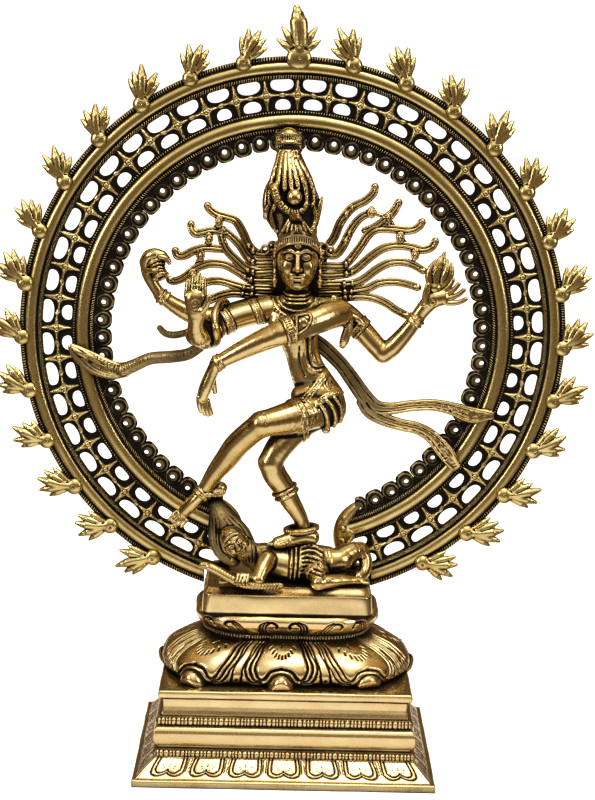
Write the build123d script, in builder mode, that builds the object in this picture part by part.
from build123d import *
import math
import os

# A cast brass nataraja: a dancing figure on a small reclining figure, inside a pierced ring of flames,
# on a double lotus and a stepped hollow plinth. Millimetres, +Z up, the front faces -Y, and the origin
# is the centre of the plinth's underside.

# ---- driving dimensions ----
TOTAL_HEIGHT = 508.0
FOOT_WIDTH, FOOT_DEPTH = 200.0, 162.0
SLAB_WIDTH, SLAB_DEPTH = 168.0, 128.0
SLAB_TOP = 61.5
PLINTH_WALL = 8.0
PLINTH_ROOF = 6.0

LOTUS_NECK_Z = 89.0
LOTUS_TOP_Z = 107.0
SEAT_TOP_Z = 125.0
SEAT_HALF_WIDTH = 57.0
SEAT_HALF_DEPTH = 42.0

ARCH_Y = 20.0
ARCH_Z = 289.5
ARCH_THICKNESS = 5.0
ARCH_FRONT_Y = ARCH_Y - ARCH_THICKNESS / 2
OUTER_BAND_R, OUTER_BAND_WIDTH = 178.0, 8.0
INNER_BAND_R, INNER_BAND_WIDTH = 143.0, 9.0
TOOTH_WIDTH = 3.5
STAR_COUNT = 48
PEARL_COUNT = 66
PEARL_CENTRE_R, PEARL_R, PEARL_HOLE_R = 129.5, 6.0, 1.7
ARCH_CUT_HALF_WIDTH = 58.0
ARCH_GAP_HALF_WIDTH = 34.0
FLAME_COUNT_PER_SIDE = 13
FLAME_STEP_DEG = 11.5
FLAME_BOSS_R, FLAME_BOSS_CENTRE_R = 6.2, 184.0
RIVET_R = 1.5

TIE_ROD_R = 4.0
ROD_CLEARANCE_R = 4.4
SCREW_R = 2.0
SCREW_HEAD_R, SCREW_HEAD_HEIGHT = 3.6, 2.4
RUNNING_GAP = 0.05

BACK_CENTRE_Z = 145.0  # top of the reclining figure's back, where the dancer stands

ON_BASE = (Align.CENTER, Align.CENTER, Align.MIN)
UNDER_TOP = (Align.CENTER, Align.CENTER, Align.MAX)
BALL_TURN = Rot(35, 20, 10)

os.makedirs("parts", exist_ok=True)


def write(built, name):
    """Labels one finished piece and writes its STEP file."""
    built.part.label = name
    export_step(built.part, f"parts/{name}.step")


def frustum(z_low, z_high, size_low, size_high):
    """A straight-sided layer between two centred rectangles."""
    with BuildSketch(Plane.XY.offset(z_low)) as low:
        Rectangle(*size_low)
    with BuildSketch(Plane.XY.offset(z_high)) as high:
        Rectangle(*size_high)
    loft([low.sketch, high.sketch])


def rounded_loft(sections, mode=Mode.ADD):
    """A smooth body through centred rounded rectangles, each (z, width, depth, corner radius)."""
    faces = []
    for z, width, depth, corner in sections:
        with BuildSketch(Plane.XY.offset(z)) as section:
            RectangleRounded(width, depth, corner)
        faces.append(section.sketch)
    loft(faces, mode=mode)


def limb(*stations):
    """A jointed limb: a ball at each (x, y, z, radius) station, and a tapered bar between neighbours.

    A bar is a hair thinner than its balls, so no faces meet tangentially, and the balls' poles are turned
    to where no bar's edge passes over them.
    """
    pieces = [Pos(x, y, z) * BALL_TURN * Sphere(radius, mode=Mode.PRIVATE) for x, y, z, radius in stations]
    for (x0, y0, z0, r0), (x1, y1, z1, r1) in zip(stations, stations[1:]):
        start, end = Vector(x0, y0, z0), Vector(x1, y1, z1)
        bar = Cone(r0 * 0.98, r1 * 0.979, (end - start).length, align=ON_BASE, mode=Mode.PRIVATE)
        pieces.append(Plane(origin=start, z_dir=end - start).location * bar)
    add(pieces)


def fingers(palm, direction, side, length, radius, spread_deg, count=4):
    """A fan of fingers from the palm: direction is where they point and side is across the palm."""
    palm, direction, side = Vector(*palm), Vector(*direction).normalized(), Vector(*side).normalized()
    for i in range(count):
        share = i - (count - 1) / 2
        turn = math.radians(spread_deg * share)
        root = palm + side * (share * radius * 1.8)
        reach = length - abs(share) * radius * 0.8
        tip = root + (direction * math.cos(turn) + side * math.sin(turn)) * reach
        limb((*root, radius), (*tip, radius * 0.8))


def pipe(points, radius):
    """A round strand along a smooth path through the points."""
    with BuildLine() as path:
        Spline(*points)
    with BuildSketch(Plane(origin=path.line @ 0, z_dir=path.line % 0)) as section:
        Circle(radius)
    sweep(sections=section.sketch, path=path.line)


def ribbon(points, width, thickness, up):
    """A flat band along a smooth path; up is the direction of the band's width at its start."""
    with BuildLine() as path:
        Spline(*points)
    tangent = path.line % 0
    with BuildSketch(Plane(origin=path.line @ 0, x_dir=Vector(*up), z_dir=tangent)) as section:
        Rectangle(width, thickness)
    sweep(sections=section.sketch, path=path.line)


def arch_point(radius, from_top_deg, y=ARCH_Y):
    """A point of the arch's plane, at an angle clockwise from its top as seen from the front."""
    turn = math.radians(from_top_deg)
    return (radius * math.sin(turn), y, ARCH_Z + radius * math.cos(turn))


ARCH_PLANE = Plane(origin=(0, ARCH_Y, ARCH_Z), x_dir=(1, 0, 0), z_dir=(0, -1, 0))

# ---- plinth: one hollow sand casting, open underneath ----
FASCIA_WIDTH, FASCIA_DEPTH = 162.0, 122.0
CAVITY_HEIGHT = SLAB_TOP - PLINTH_ROOF
with BuildPart() as torus_moulding:
    with Locations((0, 0, 31)):
        Box(174, 136, 13)
    fillet(torus_moulding.edges().filter_by(Axis.Z, reverse=True), 6)

with BuildPart() as plinth:
    frustum(0, 5, (FOOT_WIDTH, FOOT_DEPTH), (FOOT_WIDTH, FOOT_DEPTH))
    frustum(5, 16, (FOOT_WIDTH - 4, FOOT_DEPTH - 4), (172, 134))
    frustum(16, 37.5, (170, 132), (168, 130))
    add(torus_moulding.part)
    frustum(37.5, 43.5, (168, 128), (166, 127))
    frustum(43.5, 56.5, (FASCIA_WIDTH + 2, FASCIA_DEPTH + 2), (FASCIA_WIDTH, FASCIA_DEPTH))
    frustum(56.5, SLAB_TOP, (SLAB_WIDTH, SLAB_DEPTH), (SLAB_WIDTH, SLAB_DEPTH))
    cavity_width, cavity_depth = FASCIA_WIDTH - 2 * PLINTH_WALL, FASCIA_DEPTH - 2 * PLINTH_WALL
    Box(cavity_width, cavity_depth, CAVITY_HEIGHT, align=ON_BASE, mode=Mode.SUBTRACT)
    with Locations((0, 0, SLAB_TOP)):
        Hole(ROD_CLEARANCE_R, depth=2 * PLINTH_ROOF)
write(plinth, "plinth")

# ---- lotus base: one hollow casting, a wide lower lotus and a cupped upper one ----
with BuildPart() as lotus_base:
    lower_lotus = [(SLAB_TOP, 160, 102, 42), (68, 169, 110, 46), (78, 156, 100, 44), (LOTUS_NECK_Z, 116, 74, 34)]
    upper_lotus = [(LOTUS_NECK_Z, 114, 73, 33), (93, 113, 72, 33), (102, 124, 88, 34), (LOTUS_TOP_Z, 120, 88, 34)]
    hollow = [(SLAB_TOP, 146, 88, 36), (76, 142, 86, 36), (LOTUS_NECK_Z - 6, 96, 56, 24)]
    rounded_loft(lower_lotus)
    rounded_loft(upper_lotus)
    rounded_loft(hollow, mode=Mode.SUBTRACT)
    with Locations((0, 0, LOTUS_TOP_Z)):
        Hole(ROD_CLEARANCE_R, depth=60)
write(lotus_base, "lotus_base")

# ---- seat block: the plain block that carries the figures and takes the arch's tenons ----
SEAT_SHOULDER_Z = 120.0
TENON_X = 50.0
TENON_SIDE, TENON_DEPTH, TENON_GAP = 8.0, 11.0, 0.1
CROSS_SCREW_Z = 117.0
FIGURE_SCREW_X, FIGURE_SCREW_Y, FIGURE_SCREW_Z = 18.0, -14.0, 114.4
POCKET_HEIGHT = 10.0
with BuildPart() as seat_block:
    seat_size = (2 * SEAT_HALF_WIDTH, 2 * SEAT_HALF_DEPTH)
    shoulder_size = (2 * SEAT_HALF_WIDTH - 2, 2 * SEAT_HALF_DEPTH - 3)
    frustum(LOTUS_TOP_Z, SEAT_SHOULDER_Z, seat_size, shoulder_size)
    frustum(SEAT_SHOULDER_Z, SEAT_TOP_Z, shoulder_size, (108, 68))
    with Locations((0, 0, LOTUS_TOP_Z)):
        Box(82, 60, POCKET_HEIGHT, align=ON_BASE, mode=Mode.SUBTRACT)
        Cylinder(9, POCKET_HEIGHT + 4, align=ON_BASE)
        Cylinder(TIE_ROD_R + RUNNING_GAP, POCKET_HEIGHT + 2, align=ON_BASE, mode=Mode.SUBTRACT)
    for side in (-1, 1):
        with Locations((side * TENON_X, ARCH_Y, SEAT_TOP_Z + TENON_GAP)):
            socket_side = TENON_SIDE + 2 * TENON_GAP
            Box(socket_side, socket_side, TENON_DEPTH + 2 * TENON_GAP, align=UNDER_TOP, mode=Mode.SUBTRACT)
        screw_mouth = (side * TENON_X, SEAT_HALF_DEPTH, CROSS_SCREW_Z)
        with Locations(Plane(origin=screw_mouth, z_dir=(0, 1, 0)).location):
            Cylinder(SCREW_R + TENON_GAP, 50, mode=Mode.SUBTRACT)
        with Locations((side * FIGURE_SCREW_X, FIGURE_SCREW_Y, SEAT_SHOULDER_Z)):
            Cylinder(SCREW_R + 0.4, 20, mode=Mode.SUBTRACT)
write(seat_block, "seat_block")

# ---- hardware inside the base ----
NUT_HEIGHT, WASHER_THICKNESS = 6.5, 1.6
WASHER_CENTRE_Z = CAVITY_HEIGHT - RUNNING_GAP - WASHER_THICKNESS / 2
NUT_BOTTOM_Z = CAVITY_HEIGHT - WASHER_THICKNESS - NUT_HEIGHT - 4 * RUNNING_GAP
with BuildPart() as tie_rod:
    with Locations((0, 0, NUT_BOTTOM_Z - 3)):
        Cylinder(TIE_ROD_R, LOTUS_TOP_Z + POCKET_HEIGHT - NUT_BOTTOM_Z + 2, align=ON_BASE)
write(tie_rod, "tie_rod")

with BuildPart() as tie_washer:
    with Locations((0, 0, WASHER_CENTRE_Z)):
        Cylinder(10, WASHER_THICKNESS)
        Cylinder(TIE_ROD_R + 0.2, WASHER_THICKNESS, mode=Mode.SUBTRACT)
write(tie_washer, "tie_washer")

with BuildPart() as tie_nut:
    with BuildSketch(Plane.XY.offset(NUT_BOTTOM_Z)):
        RegularPolygon(7.5, 6)
        Circle(TIE_ROD_R + RUNNING_GAP, mode=Mode.SUBTRACT)
    extrude(amount=NUT_HEIGHT)
write(tie_nut, "tie_nut")

with BuildPart() as arch_screws:
    for side in (-1, 1):
        head_seat = (side * TENON_X, SEAT_HALF_DEPTH + TENON_GAP, CROSS_SCREW_Z)
        with Locations(Plane(origin=head_seat, z_dir=(0, 1, 0)).location):
            Cylinder(SCREW_HEAD_R, SCREW_HEAD_HEIGHT, align=ON_BASE)
            Cylinder(SCREW_R, 24, align=UNDER_TOP)
write(arch_screws, "arch_screws")

with BuildPart() as figure_screws:
    for side in (-1, 1):
        with Locations((side * FIGURE_SCREW_X, FIGURE_SCREW_Y, FIGURE_SCREW_Z)):
            Cylinder(SCREW_HEAD_R, SCREW_HEAD_HEIGHT, align=ON_BASE)
            Cylinder(SCREW_R, 20, align=ON_BASE)
write(figure_screws, "figure_screws")

# ---- reclining figure under the dancer's foot ----
FOOT_PIN_CENTRE = (17.0, -14.0, BACK_CENTRE_Z)
FOOT_PIN_LENGTH = 8.0
with BuildPart() as dwarf:
    limb((-14, -18, 137.5, 11.5), (4, -18, 134.5, 9.5), (18, -16, 136, 10.5), (34, -12, 137, 8))
    limb((18, -22, 136, 8), (19, -34, 131, 5.5), (34, -30, 130, 4.6), (46, -22, 129.8, 4))
    limb((34, -12, 137, 7), (47, -4, 139, 6), (50, 2, 131, 5))
    limb((-16, -28, 138, 5), (-19, -38, 131, 4.4), (-32, -38, 130, 3.8))
    limb((-31, -18, 146, 14.5), (-46, -4, 147, 14))
    split(bisect_by=Plane.XY.offset(SEAT_TOP_Z), keep=Keep.TOP)
    for side in (-1, 1):
        with Locations((side * FIGURE_SCREW_X, FIGURE_SCREW_Y, SEAT_TOP_Z)):
            Cylinder(SCREW_R + RUNNING_GAP, 20, mode=Mode.SUBTRACT)
    with Locations(FOOT_PIN_CENTRE):
        Cylinder(SCREW_R + RUNNING_GAP, FOOT_PIN_LENGTH + 2, mode=Mode.SUBTRACT)
write(dwarf, "dwarf")

with BuildPart() as dwarf_snake:
    limb((-9, -37, 128, 2.2), (-20, -40, 128.4, 2.8), (-33, -41, 130.5, 3.2), (-44, -40, 136, 3.2))
    limb((-44, -40, 136, 3.2), (-54, -38, 139.5, 2.6))
    add(dwarf.part, mode=Mode.SUBTRACT)
    add(seat_block.part, mode=Mode.SUBTRACT)
write(dwarf_snake, "dwarf_snake")

with BuildPart() as foot_pin:
    with Locations(FOOT_PIN_CENTRE):
        Cylinder(SCREW_R, FOOT_PIN_LENGTH)
write(foot_pin, "foot_pin")

# ---- dancer: torso and both legs are one casting ----
with BuildPart() as dancer_body:
    limb((2, -10, 305, 13), (4, -9, 292, 13), (5, -8, 277, 11.5), (13, -7, 261, 12.5), (28, -5, 245, 16))
    limb((-16, -9, 307, 9), (24, -11, 307, 9.5))
    limb((28, -12, 243, 15), (6, -24, 239, 12), (-18, -31, 234, 8.5))
    limb((-18, -31, 234, 8.5), (-39, -20, 212, 8.6), (-58, -9, 184, 5), (-70, -3, 170, 4.6), (-75, 2, 165, 4))
    limb((-48, -8, 187, 5), (-58, -9, 184, 5))
    limb((24, -6, 233, 14), (6, -16, 217, 10.5), (-6, -21, 205, 9))
    limb((-6, -21, 205, 9), (3, -15, 186, 7.5), (14, -12, 166, 5.4), (19, -12, 153, 5.2))
    limb((24, -8, 150, 5.6), (8, -18, 149.5, 4.8), (-4, -26, 149, 4.2))
    add(dwarf.part, mode=Mode.SUBTRACT)
    with Locations(FOOT_PIN_CENTRE):
        Cylinder(SCREW_R + RUNNING_GAP, FOOT_PIN_LENGTH + 1, mode=Mode.SUBTRACT)
write(dancer_body, "dancer_body")

with BuildPart() as dancer_head:
    limb((2, -11, 316, 6.5), (2, -12, 332, 7.5))
    limb((2, -14, 331, 9.5), (2, -12, 346, 15))
    add(dancer_body.part, mode=Mode.SUBTRACT)
write(dancer_head, "dancer_head")

with BuildPart() as headdress:
    limb((0, -8, 362, 13.5), (-2, -2, 384, 17.5), (-4, 3, 404, 11), (-5, 6, 418, 8))
    with Locations((-5, 9.5, 421)):
        Cylinder(8.6, 12)
    add(dancer_head.part, mode=Mode.SUBTRACT)
    split(bisect_by=Plane(origin=(0, ARCH_FRONT_Y, 0), z_dir=(0, 1, 0)), keep=Keep.BOTTOM)
write(headdress, "headdress")

# ---- four arms, each its own casting brazed to the torso ----
with BuildPart() as right_front_arm:
    limb((-22, -10, 308, 8), (-43, -15, 302, 8.4), (-60, -23, 292, 7.4), (-64, -33, 304, 5))
    limb((-64, -35, 308, 5.4), (-64, -36, 317, 6.6))
    fingers((-64, -36, 321), (0.02, 0.1, 1), (1, 0, 0), 12, 1.9, 1.5)
    limb((-59, -37, 312, 2.4), (-55, -38, 321, 1.9))
    add(dancer_body.part, mode=Mode.SUBTRACT)
write(right_front_arm, "right_front_arm")

with BuildPart() as right_rear_arm:
    limb((-20, 4, 309, 7.5), (-56, 3, 300, 7), (-88, -2, 315, 4.6), (-98, -3, 333, 3.8), (-96, -4, 344, 3.6))
    limb((-96, -4, 344, 3.6), (-87, -7, 345, 3.2))
    add(dancer_body.part, mode=Mode.SUBTRACT)
    add(right_front_arm.part, mode=Mode.SUBTRACT)
write(right_rear_arm, "right_rear_arm")

with BuildPart() as left_front_arm:
    limb((30, -16, 309, 8.2), (6, -29, 301, 8.6), (-10, -34, 297, 7.6), (-48, -33, 276, 4.6))
    limb((-48, -33, 276, 4.4), (-55, -31, 262, 3.8), (-59, -30, 250, 3.4), (-61, -28, 240, 2.4))
    limb((-50, -29, 266, 2.4), (-51, -26, 257, 2))
    add(dancer_body.part, mode=Mode.SUBTRACT)
write(left_front_arm, "left_front_arm")

with BuildPart() as left_rear_arm:
    limb((28, 3, 309, 7.8), (45, 2, 295, 8), (61, 0, 281, 7.2), (83, -4, 304, 5), (92, -6, 316, 6.4))
    fingers((96, -6, 319), (1, 0, 0.55), (-0.5, 0, 0.9), 14, 1.9, 7)
    limb((88, -8, 320, 2.4), (91, -9, 328, 2))
    add(dancer_body.part, mode=Mode.SUBTRACT)
    add(left_front_arm.part, mode=Mode.SUBTRACT)
write(left_rear_arm, "left_rear_arm")

with BuildPart() as hand_drum:
    drum_plane = Plane(origin=(-88.5, -9, 333), z_dir=(0.35, -0.8, 0.15))
    with Locations(drum_plane.location):
        Cone(4, 7, 7, align=ON_BASE)
        Cone(7, 4, 7, align=UNDER_TOP)
    add(right_rear_arm.part, mode=Mode.SUBTRACT)
write(hand_drum, "hand_drum")

with BuildPart() as hand_flame:
    for tip_x, tip_z, radius in ((99, 348, 3.4), (93, 342, 2.8), (104, 342, 2.8)):
        limb((95, -6, 325, 3.4), ((95 + tip_x) / 2, -6, (326 + tip_z) / 2, radius), (tip_x, -6, tip_z, 1.3))
    add(left_rear_arm.part, mode=Mode.SUBTRACT)
write(hand_flame, "hand_flame")

# ---- flying hair: a fan of locks on each side of the head, tied to each other by link beads ----
LOCK_COUNT = 7
LOCK_R = 1.7
LOCK_TIP_R = 2.1
HAIR_Y = 5.0


def hair_fan():
    """The locks of the +X side: each leaves the head, waves outwards and ends in an upturned curl."""
    limb((12, HAIR_Y, 350, 4), (24, HAIR_Y, 334, 5), (26, HAIR_Y, 322, 4))
    mids = []
    for i in range(LOCK_COUNT):
        share = i / (LOCK_COUNT - 1)
        lift = math.radians(68 - 74 * share)
        reach = 50 + 22 * math.sin(math.pi * (0.2 + 0.75 * share))
        root = Vector(20 + 7 * share, HAIR_Y, 349 - 27 * share)
        out = Vector(math.cos(lift), 0, math.sin(lift))
        rise = Vector(-math.sin(lift), 0, math.cos(lift))
        middle = root + out * (reach * 0.55) + rise * 5
        end = root + out * reach
        pipe([root, root + out * (reach * 0.25) - rise * 1.5, middle, end], LOCK_R)
        with Locations(end):
            Sphere(LOCK_TIP_R)
        mids.append(middle)
    for low, high in zip(mids, mids[1:]):
        bead = (low + high) / 2
        limb((*low, 1.6), (*bead, 2.4), (*high, 1.6))


with BuildPart() as hair_locks_left:
    hair_fan()
    mirror(about=Plane.YZ, mode=Mode.REPLACE)
    for neighbour in (dancer_head, headdress, dancer_body, right_rear_arm, right_front_arm, hand_drum):
        add(neighbour.part, mode=Mode.SUBTRACT)
write(hair_locks_left, "hair_locks_left")

with BuildPart() as hair_locks_right:
    hair_fan()
    for neighbour in (dancer_head, headdress, dancer_body, left_rear_arm, left_front_arm, hand_flame):
        add(neighbour.part, mode=Mode.SUBTRACT)
write(hair_locks_right, "hair_locks_right")

# ---- arch: one flat pierced casting with two raised bands ----
LATTICE_IN = INNER_BAND_R + INNER_BAND_WIDTH / 2 + TOOTH_WIDTH
LATTICE_OUT = OUTER_BAND_R - OUTER_BAND_WIDTH / 2 - TOOTH_WIDTH
LATTICE_MID = (LATTICE_IN + LATTICE_OUT) / 2
POST_X, POST_TOP_Z = 54.0, 140.0
RIVET_CIRCLE_R = FLAME_BOSS_CENTRE_R - 3
with BuildPart() as arch:
    with BuildSketch(ARCH_PLANE):
        Circle(OUTER_BAND_R + OUTER_BAND_WIDTH / 2 + TOOTH_WIDTH)
        Circle(PEARL_CENTRE_R, mode=Mode.SUBTRACT)
        with PolarLocations(PEARL_CENTRE_R, PEARL_COUNT):
            Circle(PEARL_R)
            Circle(PEARL_HOLE_R, mode=Mode.SUBTRACT)
        with PolarLocations((LATTICE_MID + LATTICE_OUT) / 2, STAR_COUNT):
            RectangleRounded(7.4, 15, 3.2, mode=Mode.SUBTRACT)
        with PolarLocations((LATTICE_MID + LATTICE_IN) / 2, STAR_COUNT):
            RectangleRounded(6.4, 12, 3.0, mode=Mode.SUBTRACT)
    extrude(amount=ARCH_THICKNESS / 2, both=True)
    for radius, width, rise in ((OUTER_BAND_R, OUTER_BAND_WIDTH, 2.6), (INNER_BAND_R, INNER_BAND_WIDTH, 3.0)):
        with BuildSketch(Plane.XY.offset(ARCH_Z)):
            with Locations((radius, ARCH_FRONT_Y)):
                Ellipse(width / 2, rise)
        revolve(axis=Axis((0, 0, ARCH_Z), (0, 1, 0)))
    with Locations((0, ARCH_Y, SEAT_TOP_Z)):
        Box(2 * ARCH_CUT_HALF_WIDTH, 40, 120, align=UNDER_TOP, mode=Mode.SUBTRACT)
        Box(2 * ARCH_GAP_HALF_WIDTH, 40, 100, align=ON_BASE, mode=Mode.SUBTRACT)
    for side in (-1, 1):
        with Locations((side * POST_X, ARCH_Y, SEAT_TOP_Z)):
            Box(8.5, 8, POST_TOP_Z - SEAT_TOP_Z, align=ON_BASE)
        with Locations((side * TENON_X, ARCH_Y, SEAT_TOP_Z - TENON_DEPTH + TENON_GAP)):
            Box(TENON_SIDE, TENON_SIDE, TENON_DEPTH + 4, align=ON_BASE)
        with Locations(Plane(origin=(side * TENON_X, ARCH_Y, CROSS_SCREW_Z), z_dir=(0, 1, 0)).location):
            Cylinder(SCREW_R + RUNNING_GAP, 20, mode=Mode.SUBTRACT)
    for i in range(-FLAME_COUNT_PER_SIDE, FLAME_COUNT_PER_SIDE + 1):
        rivet_centre = arch_point(RIVET_CIRCLE_R, i * FLAME_STEP_DEG)
        with Locations(Plane(origin=rivet_centre, z_dir=(0, 1, 0)).location):
            Cylinder(RIVET_R + RUNNING_GAP, 20, mode=Mode.SUBTRACT)
    for neighbour in (headdress, dancer_body, dwarf):
        add(neighbour.part, mode=Mode.SUBTRACT)
write(arch, "arch")

# ---- flames: each a fan of blades from a round boss, riveted through the outer band ----
def flame(angle_deg, lean_deg, length, blades, thickness=3.6):
    """One flame finial in front of the arch: a boss on the outer band and blades fanned about its lean."""
    boss = arch_point(RIVET_CIRCLE_R, angle_deg, ARCH_FRONT_Y - 3)
    with BuildSketch(Plane(origin=boss, x_dir=(1, 0, 0), z_dir=(0, -1, 0))) as outline:
        Circle(FLAME_BOSS_R)
        for turn_deg, share in blades:
            turn = math.radians(lean_deg + turn_deg)
            half = length * share * 0.5
            with Locations(Location((half * math.sin(turn), half * math.cos(turn)), 90 - lean_deg - turn_deg)):
                Ellipse(half, length * 0.085)
        Circle(RIVET_R + RUNNING_GAP, mode=Mode.SUBTRACT)
    extrude(outline.sketch, amount=thickness)


BLADES = ((-34, 0.72), (-17, 0.9), (0, 1.0), (17, 0.86), (34, 0.66))
with BuildPart() as flames:
    for i in range(1, FLAME_COUNT_PER_SIDE + 1):
        for side in (-1, 1):
            lean = side * (0.85 * i * FLAME_STEP_DEG - 25)
            flame(side * i * FLAME_STEP_DEG, lean, 27, BLADES)
    add(arch.part, mode=Mode.SUBTRACT)
write(flames, "flames")

with BuildPart() as crest_flame:
    flame(0, 0, TOTAL_HEIGHT - ARCH_Z - RIVET_CIRCLE_R, BLADES, thickness=4.4)
    add(arch.part, mode=Mode.SUBTRACT)
write(crest_flame, "crest_flame")

with BuildPart() as flame_rivets:
    for i in range(-FLAME_COUNT_PER_SIDE, FLAME_COUNT_PER_SIDE + 1):
        centre = arch_point(RIVET_CIRCLE_R, i * FLAME_STEP_DEG, ARCH_FRONT_Y - 3)
        with Locations(Plane(origin=centre, z_dir=(0, 1, 0)).location):
            Cylinder(RIVET_R, 8.5, align=ON_BASE)
write(flame_rivets, "flame_rivets")

# ---- cobra from the front right arm to the arch, and the sash that flies to the other side ----
with BuildPart() as cobra:
    limb((-66, -14, 279, 4.4), (-78, -8, 274, 4.2), (-95, -2, 272, 4.2), (-108, 5, 264, 4.6))
    limb((-108, 5, 264, 4.6), (-118, 9, 262, 5.6), (-132, 10, 268, 6.4), (-146, 10, 275, 5))
    for neighbour in (arch, right_front_arm, right_rear_arm, left_front_arm):
        add(neighbour.part, mode=Mode.SUBTRACT)
write(cobra, "cobra")

SASH_WIDTH, SASH_THICKNESS = 7.5, 2.6
with BuildPart() as sash:
    upper_tail = [(22, 3, 285), (38, 5, 266), (50, 7, 246), (64, 7, 236)]
    upper_tail += [(84, 8, 238), (104, 10, 243), (138, 12, 238)]
    lower_tail = [(60, 7, 236), (76, 8, 228), (92, 9, 225), (106, 11, 213), (117, 12, 198)]
    ribbon(upper_tail, SASH_WIDTH, SASH_THICKNESS, (0.7, 0, 0.7))
    ribbon(lower_tail, SASH_WIDTH, SASH_THICKNESS, (0.3, 0, 0.9))
    for neighbour in (arch, dancer_body, left_rear_arm, left_front_arm, hair_locks_right):
        add(neighbour.part, mode=Mode.SUBTRACT)
write(sash, "sash")
